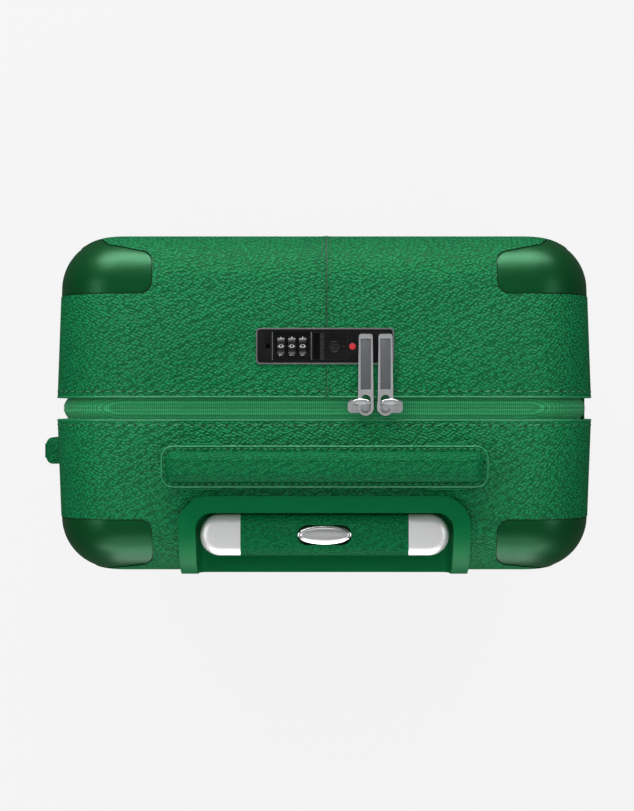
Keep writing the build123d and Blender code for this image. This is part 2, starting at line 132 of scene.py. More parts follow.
def face_out(obj):
    """Merge doubles and turn every face outwards."""
    pick(obj)
    bpy.ops.object.mode_set(mode="EDIT")
    bpy.ops.mesh.select_all(action="SELECT")
    bpy.ops.mesh.remove_doubles(threshold=0.00001)
    bpy.ops.mesh.normals_make_consistent(inside=False)
    bpy.ops.object.mode_set(mode="OBJECT")
    return obj


def place_piece(obj, name, body, material, stands_for=()):
    """Name a finished piece, give it its material and let it ride."""
    obj.name = name
    obj.data.name = name
    obj.data.materials.clear()
    obj.data.materials.append(material)
    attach(obj, body)
    if stands_for:
        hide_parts(*stands_for)
    return obj


# %% [markdown]
# ## Materials
# A colour is written as a web colour and turned to the linear light that the shader works in. One small
# function adds a node, sets it and links it, so that each finish below reads as a list of its layers.

# %% Colour and node helpers
def rgb(code):
    """An sRGB hex colour as linear RGBA."""
    values = [int(code[i:i + 2], 16) / 255 for i in (1, 3, 5)]
    return [v / 12.92 if v <= 0.04045 else ((v + 0.055) / 1.055) ** 2.4 for v in values] + [1.0]


def add(tree, kind, links=None, **settings):
    """Add one node: settings are its properties, or input values where the name is an input's."""
    node = tree.nodes.new(kind)
    for key, value in settings.items():
        if hasattr(node, key):
            setattr(node, key, value)
        else:
            node.inputs[key.replace("_", " ")].default_value = value
    for socket, source in (links or {}).items():
        tree.links.new(source, node.inputs[socket])
    return node


def new_material(name, colour, roughness, metallic=0.0):
    """A material with its plain shader values set on the shader itself."""
    material = bpy.data.materials.new(name)
    material.use_nodes = True
    shader = material.node_tree.nodes["Principled BSDF"]
    shader.inputs["Base Color"].default_value = rgb(colour)
    shader.inputs["Roughness"].default_value = roughness
    shader.inputs["Metallic"].default_value = metallic
    return material, material.node_tree, shader


# %% [markdown]
# ### Pebbled leather
# Full-grain leather that has been tumbled or plated: soft rounded pebbles 2 to 3 mm across, with darker
# creases between them. Besides the bump that sinks them, the creases are given a darker colour: painted
# shade that stands for the shade falling in them. A smooth Voronoi pattern, turned upside down, has that
# shape: low in a crease and rising to the middle of a pebble. The pattern is stretched a little, because
# hide stretches one way, a fine noise bends the cells, and a broad noise varies the dye over some 60 mm.
# A crease is duller than a pebble's top, which hands and cloth have polished. The carry handles and the
# grip wear a thinner, finer-grained skin, a little darker and with less shine.

# %% Pebbled leather
HIDE_STRETCH = (0.75, 1.15, 1.0)
HIDE_TURN = (0.3, 0.2, math.radians(35))
CREASE_DULLNESS = 0.16
DYE_PATCH = 60 * MM


def leather(name, colour, crease_shade, pebble_mm=2.0, depth_mm=0.75, roughness=0.42, shine=0.085):
    material, tree, shader = new_material(name, colour, roughness)
    shader.inputs["Specular IOR Level"].default_value = shine
    where = add(tree, "ShaderNodeTexCoord").outputs["Object"]
    flow = add(tree, "ShaderNodeMapping", {"Vector": where}, Scale=HIDE_STRETCH, Rotation=HIDE_TURN)
    bend = add(tree, "ShaderNodeTexNoise", {"Vector": where}, Scale=1 / (pebble_mm * 1.5 * MM), Detail=1.0)
    push = add(tree, "ShaderNodeVectorMath", {0: bend.outputs["Color"]}, operation="SCALE",
               Scale=0.36 * pebble_mm * MM)
    bent = add(tree, "ShaderNodeVectorMath", {0: flow.outputs[0], 1: push.outputs[0]}, operation="ADD")
    cells = add(tree, "ShaderNodeTexVoronoi", {"Vector": bent.outputs[0]}, feature="SMOOTH_F1",
                Scale=1 / (pebble_mm * MM), Smoothness=0.45, Randomness=0.5)
    dome = add(tree, "ShaderNodeMapRange", {"Value": cells.outputs["Distance"]},
               interpolation_type="SMOOTHSTEP", From_Min=0.75, From_Max=0.2)
    bump = add(tree, "ShaderNodeBump", {"Height": dome.outputs[0]}, Strength=1.0, Distance=depth_mm * MM)
    tree.links.new(bump.outputs[0], shader.inputs["Normal"])
    # Painted shade: the darker crease colour is mixed in where the pebble height is low, and stands for the
    # shade in the creases.
    colour_mix = add(tree, "ShaderNodeMix", {"Factor": dome.outputs[0]}, data_type="RGBA")
    colour_mix.inputs["A"].default_value = rgb(crease_shade)
    colour_mix.inputs["B"].default_value = rgb(colour)
    broad = add(tree, "ShaderNodeTexNoise", {"Vector": where}, Scale=1 / DYE_PATCH, Detail=3.0)
    tone = add(tree, "ShaderNodeMapRange", {"Value": broad.outputs["Fac"]}, To_Min=0.92, To_Max=1.08)
    shade = add(tree, "ShaderNodeHueSaturation", {"Color": colour_mix.outputs["Result"], "Value": tone.outputs[0]})
    tree.links.new(shade.outputs[0], shader.inputs["Base Color"])
    wax = add(tree, "ShaderNodeMapRange", {"Value": dome.outputs[0]},
              To_Min=roughness + CREASE_DULLNESS, To_Max=roughness)
    tree.links.new(wax.outputs[0], shader.inputs["Roughness"])
    return material


GREEN = "#0a7b46"
# The darker crease colour is painted shade in the creases, on the case and on the handles.
CREASE_SHADE = "#05552f"
case_leather = leather("pebbled leather", GREEN, CREASE_SHADE)
handle_leather = leather("pebbled leather, handle", "#087240", "#045430",
                         pebble_mm=1.7, depth_mm=0.6, shine=0.05)
print("materials:", case_leather.name, handle_leather.name)

# %% [markdown]
# ### Satin moulded plastic
# The corner guards, wheel housings and trolley frame are moulded in ABS and sprayed with a satin paint in
# the leather's colour. The eye sees a smooth broad highlight with a very fine orange peel in it.

# %% Satin paint, plain plastics and rubber
def moulded(name, colour, roughness, grain_mm, depth_mm, tone=0.06, tint="#ffffff", shine=0.5):
    """Smooth plastic or paint: a fine grain in the surface and slight changes of tone. A metallic
    paint tints what it mirrors."""
    material, tree, shader = new_material(name, colour, roughness)
    shader.inputs["Specular Tint"].default_value = rgb(tint)
    shader.inputs["Specular IOR Level"].default_value = shine
    where = add(tree, "ShaderNodeTexCoord").outputs["Object"]
    grain = add(tree, "ShaderNodeTexNoise", {"Vector": where}, Scale=1 / (grain_mm * MM), Detail=3.0)
    bump = add(tree, "ShaderNodeBump", {"Height": grain.outputs["Fac"]}, Strength=0.6, Distance=depth_mm * MM)
    broad = add(tree, "ShaderNodeTexNoise", {"Vector": where}, Scale=1 / (25 * MM), Detail=2.0)
    value = add(tree, "ShaderNodeMapRange", {"Value": broad.outputs["Fac"]}, To_Min=1 - tone, To_Max=1 + tone)
    shade = add(tree, "ShaderNodeHueSaturation", {"Value": value.outputs[0]}, Color=rgb(colour))
    tree.links.new(shade.outputs[0], shader.inputs["Base Color"])
    rub = add(tree, "ShaderNodeMapRange", {"Value": broad.outputs["Fac"]},
              To_Min=roughness - 0.05, To_Max=roughness + 0.07)
    tree.links.new(rub.outputs[0], shader.inputs["Roughness"])
    tree.links.new(bump.outputs[0], shader.inputs["Normal"])
    return material


satin_green = moulded("satin painted ABS, green", "#003a16", 0.36, 0.6, 0.03, tint="#7fe0a8")
satin_frame = moulded("satin painted ABS, trolley frame", "#026536", 0.5, 0.6, 0.02,
                      tint="#6fd09a", shine=0.3)
shell_plastic = moulded("moulded polycarbonate", "#0b3d22", 0.55, 0.8, 0.05)
lock_black = moulded("moulded ABS, black", "#070708", 0.5, 0.5, 0.03, shine=0.14)
dial_black = moulded("moulded nylon, black", "#0c0c0d", 0.3, 0.4, 0.01)
tyre_rubber = moulded("thermoplastic rubber", "#1c1d1e", 0.72, 0.6, 0.05)
hub_plastic = moulded("moulded nylon, green", "#0d5b33", 0.45, 0.8, 0.03)
nylon_core = moulded("nylon strip", "#0a4024", 0.6, 0.6, 0.04)
red_enamel = moulded("red enamel", "#b81f2c", 0.3, 0.4, 0.01)
# Painted shade: the needle holes are dark beads that stand for the shade inside each hole.
needle_hole_shade = moulded("needle holes", "#021a0c", 0.9, 0.4, 0.01)
release_black = moulded("moulded ABS, release bar", "#1d1e20", 0.4, 0.5, 0.02, shine=0.35)
# Painted shade: the dark strip along the lid's seam stands for the shade in its groove.
seam_shade = moulded("painted shade in the seam groove", "#043a20", 0.8, 0.4, 0.01)
# Painted highlight: the strap edge's bead is paler than the handle leather, on top of the real light its
# round shape catches.
strap_edge_highlight = moulded("strap edge, painted highlight", "#1c8553", 0.4, 0.6, 0.01)
rim_leather = moulded("smooth turned leather", "#137a48", 0.45, 0.9, 0.03, shine=0.3)
white_ink = moulded("white ink", "#e9e9e6", 0.55, 0.3, 0.01)

# %% [markdown]
# ### Metals
# Die-cast zinc with a brushed nickel plate on the sliders and pulls, black nickel round the key, satin
# paint on the grip's caps, and anodised aluminium on the trolley tubes, which keeps fine drawing lines
# along its length. All are one noise that varies the roughness: stretched one way, it reads as brushing.

# %% Metals
SCRATCH_DEPTH = 0.01 * MM


def metal(name, colour, roughness, scratch_mm, along=(1, 1, 1), metallic=1.0):
    """A metal with fine marks: along stretches them, so that drawn tubes show lines."""
    material, tree, shader = new_material(name, colour, roughness, metallic)
    where = add(tree, "ShaderNodeTexCoord").outputs["Object"]
    turn = add(tree, "ShaderNodeMapping", {"Vector": where}, Scale=along)
    marks = add(tree, "ShaderNodeTexNoise", {"Vector": turn.outputs[0]},
                Scale=1 / (scratch_mm * MM), Detail=4.0)
    rub = add(tree, "ShaderNodeMapRange", {"Value": marks.outputs["Fac"]},
              To_Min=roughness * 0.75, To_Max=roughness * 1.25)
    tree.links.new(rub.outputs[0], shader.inputs["Roughness"])
    bump = add(tree, "ShaderNodeBump", {"Height": marks.outputs["Fac"]}, Strength=0.5, Distance=SCRATCH_DEPTH)
    tree.links.new(bump.outputs[0], shader.inputs["Normal"])
    return material


bright_nickel = metal("nickel plated zinc", "#e2e3e3", 0.2, 2.0)
brushed_nickel = metal("brushed nickel, sliders and rims", "#c9cacc", 0.32, 0.6, (1, 0.1, 1))
dark_nickel = metal("brushed dark nickel, panels", "#77797c", 0.45, 0.5, (1, 0.1, 1))
satin_silver = metal("satin silver paint", "#dedfdf", 0.48, 0.5, metallic=0.7)
anodised = metal("anodised aluminium", "#a9acae", 0.3, 0.5, (1, 1, 0.02))
zinc_steel = metal("zinc plated steel", "#a5a7a8", 0.3, 1.0)
black_nickel = metal("black nickel plated zinc", "#3c3d3f", 0.35, 0.6)
button_nickel = metal("satin nickel, button", "#cfd0d0", 0.34, 0.8, metallic=0.9)


# %% [markdown]
# ### Woven cloth
# The zip tape is woven polyester in narrow ribs, and the lining is a plain weave. Two waves at right
# angles, averaged, make the over and under of the threads: one of them crosses the cloth on whichever
# side of the case it lies. The threads are drawn 1.2 to 1.6 mm apart, coarser than real, because finer
# ones would be lost.

# %% Woven cloth
CLOTH_ROUGHNESS = 0.8
BAND_WIDTHS = 3.2  # a Wave node's bands are about this many times closer than its scale says


def woven(name, colour, dark, thread_mm, depth_mm=0.15):
    """Cloth with threads across X and across Z."""
    material, tree, shader = new_material(name, colour, CLOTH_ROUGHNESS)
    shader.inputs["Sheen Weight"].default_value = 0.1
    where = add(tree, "ShaderNodeTexCoord").outputs["Object"]
    waves = []
    for axis in ("X", "Z"):
        wave = add(tree, "ShaderNodeTexWave", {"Vector": where}, bands_direction=axis,
                   Scale=1 / (thread_mm * MM * BAND_WIDTHS), Distortion=0.4, Detail=1.0)
        waves.append(wave.outputs["Fac"])
    both = add(tree, "ShaderNodeMath", {0: waves[0], 1: waves[1]}, operation="ADD")
    weave = add(tree, "ShaderNodeMapRange", {"Value": both.outputs[0]}, From_Max=2.0)
    colour_mix = add(tree, "ShaderNodeMix", {"Factor": weave.outputs[0]}, data_type="RGBA")
    colour_mix.inputs["A"].default_value = rgb(dark)
    colour_mix.inputs["B"].default_value = rgb(colour)
    tree.links.new(colour_mix.outputs["Result"], shader.inputs["Base Color"])
    bump = add(tree, "ShaderNodeBump", {"Height": weave.outputs[0]}, Strength=0.8, Distance=depth_mm * MM)
    tree.links.new(bump.outputs[0], shader.inputs["Normal"])
    return material


zip_cloth = woven("woven zip tape", "#3cc67c", "#0c7340", 1.3, depth_mm=0.3)
lining_cloth = woven("woven polyester lining", "#2f3a34", "#1d2520", 1.2)
strap_webbing = woven("woven strap webbing", "#232725", "#111413", 1.6)
thread = moulded("waxed polyester thread", "#1c7f4c", 0.5, 0.3, 0.03)
print("materials so far:", len(bpy.data.materials))

# %% [markdown]
# ## Camera
# The view is straight down on the suitcase's upper end, from 1.3 m above it, with the lid's side at the
# top of the picture. It is made first so that each later piece can be judged in it.

# %% Camera
CAMERA_RISE = 1.3
CAMERA_OFFSET = Vector((5 * MM, 1.8 * MM, 0))
LENS = 86.9
over_case = Vector((MID_X, (FRONT + REAR) / 2, TOP + CAMERA_RISE))
bpy.ops.object.camera_add(location=over_case + CAMERA_OFFSET, rotation=(0, 0, math.pi))
camera = bpy.context.object
camera.data.sensor_width = 36.0
camera.data.lens = LENS
camera.data.clip_end = 20.0
bpy.context.scene.camera = camera
print("camera at", [round(v, 3) for v in camera.location])

# %% [markdown]
# ## Light and floor
# Long soft boxes stand off the front and rear sides, where the case's rounded edges catch them, with a
# wide soft light above. The left and right stay darker, which gives the corner guards their shape. Three
# of the boxes are cards: they light nothing and are only mirrored, so that rounded paint and metal get a
# highlight while the leather keeps its depth. The floor is white paper that glows a little, and neither
# lights the case nor is mirrored in it, as if it lay far below.

# %% Light and floor
def soft_box(name, place, target, size, power, lights=True, mirrored=True):
    """A rectangular light that faces a point. It may only light surfaces, or only be mirrored in them."""
    bpy.ops.object.light_add(type="AREA", location=place)
    light = bpy.context.object
    light.name = name
    light.data.shape = "RECTANGLE"
    light.data.size, light.data.size_y = size
    light.data.energy = power
    light.visible_camera = False
    light.visible_diffuse = lights
    light.visible_glossy = mirrored
    light.rotation_mode = "QUATERNION"
    light.rotation_quaternion = (Vector(target) - Vector(place)).to_track_quat("-Z", "Y")


middle = (MID_X, 0, MID_Z)
top_middle = (MID_X, 0, TOP)
soft_box("front side", (MID_X + 0.2, -1.35, TOP + 0.62), top_middle, (1.8, 0.5), 28)
soft_box("rear side", (MID_X, 1.35, TOP + 1.0), top_middle, (1.8, 0.4), 9)
soft_box("rear fill", (MID_X, 1.7, MID_Z), middle, (1.2, 0.9), 14)
soft_box("front card", (MID_X, -1.4, TOP + 0.3), top_middle, (2.2, 0.35), 38, lights=False)
soft_box("rear card", (MID_X, 1.4, TOP + 0.35), top_middle, (2.2, 0.4), 20, lights=False)
soft_box("side handle side", (MID_X + 1.4, 0, TOP + 1.0), top_middle, (1.2, 0.4), 9)
soft_box("hinge side", (MID_X - 1.4, 0, TOP + 1.0), top_middle, (1.2, 0.4), 7)
soft_box("overhead", (MID_X, -0.5, TOP + 2.0), top_middle, (1.2, 0.8), 9, mirrored=False)
soft_box("overhead card", (MID_X, 0.1, TOP + 2.4), top_middle, (2.0, 1.4), 4.5, lights=False)

world = bpy.data.worlds.new("studio")
bpy.context.scene.world = world
world.use_nodes = True
world.node_tree.nodes["Background"].inputs["Color"].default_value = rgb("#ffffff")
ray = add(world.node_tree, "ShaderNodeLightPath").outputs["Is Camera Ray"]
glow = add(world.node_tree, "ShaderNodeMapRange", {"Value": ray}, To_Min=0.1, To_Max=0.9)
world.node_tree.links.new(glow.outputs[0], world.node_tree.nodes["Background"].inputs["Strength"])
bpy.context.scene.view_settings.view_transform = "Standard"

bpy.ops.mesh.primitive_plane_add(size=40, location=(0, 0, -0.0005))
floor = bpy.context.object
floor.name = "studio_floor"
paper, _, paper_shader = new_material("studio paper", "#242424", 0.95)
paper_shader.inputs["Emission Color"].default_value = rgb("#ffffff")
paper_shader.inputs["Emission Strength"].default_value = 0.862
floor.data.materials.append(paper)
floor.visible_diffuse = False
floor.visible_glossy = False


# %% [markdown]
# ## Softened edges
# A moulded or stitched edge is never knife sharp: it shows as a thin bright line because it is rounded.
# The working model's edges are sharp, so each visible node is copied, its triangles are merged back into
# faces, and a small bevel rounds the edges. The copy stands for the node.

# %% Softened copies of the working model
BEVEL_FROM = math.radians(40)


def softened(node, material, width_mm, segments=2):
    """Copy a node, merge its triangles, round its sharp edges and let the copy stand for it."""
    source = frame["nodes"][node]
    piece = source.copy()
    piece.data = source.data.copy()
    piece.parent = None
    for key in list(piece.keys()):
        del piece[key]
    bpy.context.scene.collection.objects.link(piece)
    piece.matrix_world = Matrix.Identity(4)
    pick(piece)
    if piece.data.has_custom_normals:
        bpy.ops.mesh.customdata_custom_splitnormals_clear()
    bpy.ops.object.mode_set(mode="EDIT")
    bpy.ops.mesh.select_all(action="SELECT")
    bpy.ops.mesh.remove_doubles(threshold=0.000002)
    bpy.ops.mesh.dissolve_limited(angle_limit=math.radians(1.0))
    bpy.ops.object.mode_set(mode="OBJECT")
    if width_mm:
        modify(piece, "BEVEL", width=width_mm * MM, segments=segments, limit_method="ANGLE",
               angle_limit=BEVEL_FROM, harden_normals=False)
        apply_all(piece)
    smooth(piece, 32)
    place_piece(piece, node + "_finished", node_body[node], material, (node,))


for side in ("lid", "base"):
    softened(f"{side}_leather", case_leather, 0.9, 3)
    softened(f"{side}_corner_guards", satin_green, 0.5, 3)
softened("handle_bezel", satin_frame, 2.2, 5)
print("softened the case")

# %% [markdown]
# ## Zip
# Two woven tapes meet on the zip line, in a channel between the rims, and a coil is sewn along each edge
# behind them. Each tape is a band that follows the rims. A box with its four long edges rounded has just
# that outline, so the band is such a box with its ends taken off and a wall given to what is left. Cloth
# that is sewn in under a rim sinks towards its far edge, so the band is drawn in there along a cosine.

# %% Zip tapes
lid_tape_low, lid_tape_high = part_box("lid_zip_tape")
base_tape_low, base_tape_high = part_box("base_zip_tape")
ZIP_Y = (lid_tape_high.y + base_tape_low.y) / 2
TAPE_INSET = TOP - lid_tape_high.z
TAPE_HALF_GAP = 0.25 * MM


def select_edges(obj, test):
    """Select the edges whose two ends pass a test, in edit mode."""
    bpy.ops.object.mode_set(mode="EDIT")
    bpy.ops.mesh.select_all(action="DESELECT")
    bpy.ops.mesh.select_mode(type="EDGE")
    bpy.ops.object.mode_set(mode="OBJECT")
    corners = obj.data.vertices
    for edge in obj.data.edges:
        edge.select = test(corners[edge.vertices[0]].co, corners[edge.vertices[1]].co)
    bpy.ops.object.mode_set(mode="EDIT")


def select_faces(obj, test):
    """Select the faces that pass a test of centre and normal, in edit mode."""
    bpy.ops.object.mode_set(mode="EDIT")
    bpy.ops.mesh.select_all(action="DESELECT")
    bpy.ops.mesh.select_mode(type="FACE")
    bpy.ops.object.mode_set(mode="OBJECT")
    for face in obj.data.polygons:
        face.select = test(face.center, face.normal)
    bpy.ops.object.mode_set(mode="EDIT")


def new_box(low, high):
    """A box from its low corner to its high corner."""
    bpy.ops.object.select_all(action="DESELECT")
    centre = [(l + h) / 2 for l, h in zip(low, high)]
    bpy.ops.mesh.primitive_cube_add(size=1, location=centre)
    box = bpy.context.object
    box.scale = [h - l for l, h in zip(low, high)]
    return settle(box)


def along(axis):
    """A test for edges that run along one axis."""
    others = [i for i in range(3) if i != axis]
    return lambda p, q: all(abs(p[i] - q[i]) < 1e-6 for i in others)


def bevel_selected(radius, segments):
    bpy.ops.mesh.bevel(offset=radius, segments=segments, profile=0.5, affect="EDGES")
    bpy.ops.object.mode_set(mode="OBJECT")


TAPE_WALL = 0.8 * MM
TAPE_ROUNDING = 0.25 * MM
TAPE_DIP = 3.0 * MM
DIP_OVER = 7 * MM


def band(inset, near, far):
    """A band that follows the rims round the case, from one depth to another. The cloth rolls down
    towards the far edge."""
    low, high = sorted((near, far))
    piece = new_box((MID_X - HALF_W + inset, low, BOTTOM + inset),
                    (MID_X + HALF_W - inset, high, TOP - inset))
    select_edges(piece, along(1))
    bevel_selected(CORNER_R - inset, 14)
    select_faces(piece, lambda centre, normal: abs(normal.y) > 0.9)
    bpy.ops.mesh.delete(type="FACE")
    select_edges(piece, along(1))
    bpy.ops.mesh.subdivide(number_cuts=9)
    bpy.ops.object.mode_set(mode="OBJECT")
    centre = Vector((MID_X, 0, MID_Z))
    for vert in piece.data.vertices:
        share = min(abs(vert.co.y - near) / DIP_OVER, 1.0)
        drop_by = TAPE_DIP * (1 - math.cos(share * math.pi / 2))
        flat = Vector((vert.co.x - centre.x, 0, vert.co.z - centre.z))
        shrink = Vector((1 - drop_by / HALF_W, 1, 1 - drop_by / HALF_H))
        vert.co = centre + Vector((flat.x * shrink.x, vert.co.y, flat.z * shrink.z))
    modify(piece, "SOLIDIFY", thickness=TAPE_WALL, offset=-1.0)
    modify(piece, "BEVEL", width=TAPE_ROUNDING, segments=2, limit_method="ANGLE",
           angle_limit=math.radians(60))
    apply_all(piece)
    return smooth(face_out(piece), 40)


for side, edge, back, body in (("lid", ZIP_Y - TAPE_HALF_GAP, lid_tape_low.y, "lid"),
                               ("base", ZIP_Y + TAPE_HALF_GAP, base_tape_high.y, "base")):
    tape = band(TAPE_INSET, edge, back)
    place_piece(tape, f"{side}_tape_cloth", body, zip_cloth, (f"{side}_zip_tape",))
print("tapes:", len(tape.data.polygons), "faces each")

# %% [markdown]
# ## Walking round the rim
# Teeth and stitches repeat at an even pitch round the case. One function walks a rounded rectangle by
# distance and gives each place a point, the way along it and the way out of it. What repeats is modelled
# once with a few dozen faces and copied to every place.

# %% Paths and repeats
def rounded_path(half_u, half_v, radius, pitch):
    """Places round a rounded rectangle centred on zero, as (point, along, out) in its own plane."""
    straight = (2 * (half_u - radius), 2 * (half_v - radius))
    arc = radius * math.pi / 2
    total = 2 * sum(straight) + 4 * arc
    count = round(total / pitch)
    places = []
    for step in range(count):
        s = step * total / count
        for side in range(4):
            length = straight[side % 2]
            turn = Matrix.Rotation(-side * math.pi / 2, 2)
            reach = (half_v, half_u)[side % 2]
            run = (half_u, half_v)[side % 2] - radius
            if s < length:
                point, way, out = Vector((-run + s, reach)), Vector((1, 0)), Vector((0, 1))
            elif s < length + arc:
                angle = (s - length) / radius
                out = Vector((math.sin(angle), math.cos(angle)))
                point = Vector((run, reach - radius)) + radius * out
                way = Vector((out.y, -out.x))
            else:
                s -= length + arc
                continue
            places.append((turn @ point, turn @ way, turn @ out))
            break
    return places


def rim_places(inset, y, pitch):
    """Places round the case at one depth, as (point, along, out) in the model's frame."""
    depth = (LID_RIM - y) / (LID_RIM - FRONT) if y < ZIP_Y else (y - BASE_RIM) / (REAR - BASE_RIM)
    half = HALF_W - max(depth, 0) * DRAFT - inset
    lift = lambda v: Vector((v.x, 0, v.y))
    centre = Vector((MID_X, y, MID_Z))
    places = rounded_path(half, HALF_H - inset, CORNER_R - inset, pitch)
    return [(centre + lift(point), lift(way), lift(out)) for point, way, out in places]


def repeat(template, places, sink=0.0, turn=0.0):
    """Copy a small piece to each place: its X goes along, its Z out. Returns one joined mesh object."""
    shape = bmesh.new()
    for point, way, out in places:
        side = out.cross(way)
        basis = Matrix((way, side, out)).transposed().to_4x4()
        spin = Matrix.Rotation(turn, 4, "Z")
        before = len(shape.verts)
        shape.from_mesh(template.data)
        shape.verts.ensure_lookup_table()
        move = Matrix.Translation(point - out * sink) @ basis @ spin
        for vert in shape.verts[before:]:
            vert.co = move @ vert.co
    mesh = bpy.data.meshes.new("repeat")
    shape.to_mesh(mesh)
    shape.free()
    joined = bpy.data.objects.new("repeat", mesh)
    bpy.context.scene.collection.objects.link(joined)
    return face_out(joined)


def small_bead(length, width, height, segments=8, rings=5):
    """A bead for one stitch: a coarse ball, stretched."""
    bpy.ops.object.select_all(action="DESELECT")
    bpy.ops.mesh.primitive_uv_sphere_add(segments=segments, ring_count=rings, radius=0.5)
    bead = bpy.context.object
    bead.rotation_euler = (0, math.pi / 2, 0)
    settle(bead)
    bead.scale = (length, width, height)
    return settle(bead)


def drop(obj):
    bpy.data.objects.remove(obj, do_unlink=True)


print("paths and repeats ready")

# %% [markdown]
# ### Zip teeth
# A coil zip's teeth are loops of one nylon thread that hook into each other. At this size each loop reads
# as a small rounded block across the zip line, so one block with eased edges is repeated, and the two
# sides share one row of places: one takes the even ones and the other the odd ones, so that they mesh.

# %% Zip teeth
TOOTH_PITCH = 1.7 * MM
TOOTH_HALF = Vector((0.45, 1.3, 0.6)) * MM
TOOTH_DEPTH = 1.5 * MM
tooth = new_box(-TOOTH_HALF, TOOTH_HALF)
modify(tooth, "BEVEL", width=0.2 * MM, segments=1)
apply_all(tooth)
for side, shift, offset in (("lid", -0.95 * MM, 0), ("base", 0.95 * MM, 1)):
    places = rim_places(TAPE_INSET + TOOTH_DEPTH, ZIP_Y + shift, TOOTH_PITCH / 2)[offset::2]
    teeth = smooth(repeat(tooth, places), 40)
    place_piece(teeth, f"{side}_zip_teeth", side, hub_plastic)
print("zip teeth:", len(places), "a side")
drop(tooth)

# %% [markdown]
# ## Stitching
# Each leather skin is sewn to its shell 4 mm in from the rim, and the lid has a seam down its middle
# with a row on each side. A saddle stitch sits in a shallow dent, slants a little, and goes down into a
# hole at each end. So a row is two repeats: a slanted bead of thread, and a small dark bead where the
# needle went in, which is painted shade that stands for the dark inside of the hole.

# %% Stitches
def stitch_row(name, places, body, pitch_mm, thick_mm=0.8, slant=0.16):
    """A row of stitches, and between them dark beads, painted shade that stands for the needle holes."""
    bead = small_bead(pitch_mm * 0.6 * MM, thick_mm * 0.8 * MM, thick_mm * MM)
    row = smooth(repeat(bead, places[0::2], 0.12 * MM, slant), 80)
    place_piece(row, f"{name}_stitches", body, thread)
    drop(bead)
    dot = small_bead(thick_mm * 1.9 * MM, thick_mm * 1.4 * MM, 0.4 * MM, 8, 4)
    holes = smooth(repeat(dot, places[1::2], 0.02 * MM, 0.7), 80)
    place_piece(holes, f"{name}_needle_holes", body, needle_hole_shade)
    drop(dot)
    print(name, len(places) // 2, "stitches")


LID_MARGIN, LID_PITCH_MM = 4.2 * MM, 7.2
BASE_MARGIN, BASE_PITCH_MM = 3.8 * MM, 7.6
lid_row = rim_places(0, LID_RIM - LID_MARGIN, LID_PITCH_MM / 2 * MM)
stitch_row("lid_rim", lid_row, "lid", LID_PITCH_MM, 0.9)
base_row = rim_places(0, BASE_RIM + BASE_MARGIN, BASE_PITCH_MM / 2 * MM)
stitch_row("base_rim", base_row, "base", BASE_PITCH_MM, 0.9)

# %% [markdown]
# ### The path down the lid
# The lid's skin is joined from two halves by a seam that runs over the top, down the front and under the
# bottom. Its path is straight runs joined by the case's rounded edges, so it is walked by distance in the
# same way as the rims. It stops short of the lock, which is set into the leather over it.

# %% The path down the lid
def seam_places(x, pitch):
    """Places down the middle of the lid: over the top, down the front and under the bottom."""
    run = -FRONT + LID_RIM - EDGE_R
    arc = EDGE_R * math.pi / 2
    tall = 2 * (HALF_H - EDGE_R)
    total = 2 * run + 2 * arc + tall
    out, places = Vector((0, 0, 1)), []
    for step in range(int(total / pitch) + 1):
        s = (step + 0.5) * pitch
        if s < run:
            point, angle = Vector((x, LID_RIM - s, TOP)), 0
        elif s < run + arc:
            angle = (s - run) / EDGE_R
            sunk, risen = EDGE_R * math.sin(angle), EDGE_R * math.cos(angle)
            point = Vector((x, FRONT + EDGE_R - sunk, TOP - EDGE_R + risen))
        elif s < run + arc + tall:
            angle = math.pi / 2
            point = Vector((x, FRONT, TOP - EDGE_R - (s - run - arc)))
        elif s < run + 2 * arc + tall:
            angle = math.pi / 2 + (s - run - arc - tall) / EDGE_R
            sunk, risen = EDGE_R * math.sin(angle), EDGE_R * math.cos(angle)
            point = Vector((x, FRONT + EDGE_R - sunk, BOTTOM + EDGE_R + risen))
        else:
            angle = math.pi
            point = Vector((x, FRONT + EDGE_R + (s - run - 2 * arc - tall), BOTTOM))
        out = Vector((0, -math.sin(angle), math.cos(angle)))
        way = Vector((0, -math.cos(angle), -math.sin(angle)))
        if point.y < LID_RIM - 0.5 * MM:
            places.append((point, way, out))
    return places


lock_low, lock_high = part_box("lock_frame")
SEAM_X = MID_X - 1.3 * MM


def clear_of_lock(places):
    """Leave out what would lie on the lock."""
    margin = 0.8 * MM
    first, last = lock_low.y - margin, lock_high.y + margin
    return [p for p in places if p[0].z < TOP - EDGE_R or not first < p[0].y < last]


SEAM_PITCH_MM = 3.0
for word, shift in (("left", -2.7), ("right", 2.7)):
    rows = clear_of_lock(seam_places(SEAM_X + shift * MM, SEAM_PITCH_MM / 2 * MM))
    stitch_row(f"lid_seam_{word}", rows, "lid", SEAM_PITCH_MM, 0.55, 0.1)

# %% [markdown]
# ### The seam
# The seam itself is where the two halves of the skin turn down into each other: a shallow groove with a
# soft lip on each side. It is a chain of small flat beads along the path: for the groove they are dark,
# painted shade that stands for the shade in it, and for the lips they are leather.

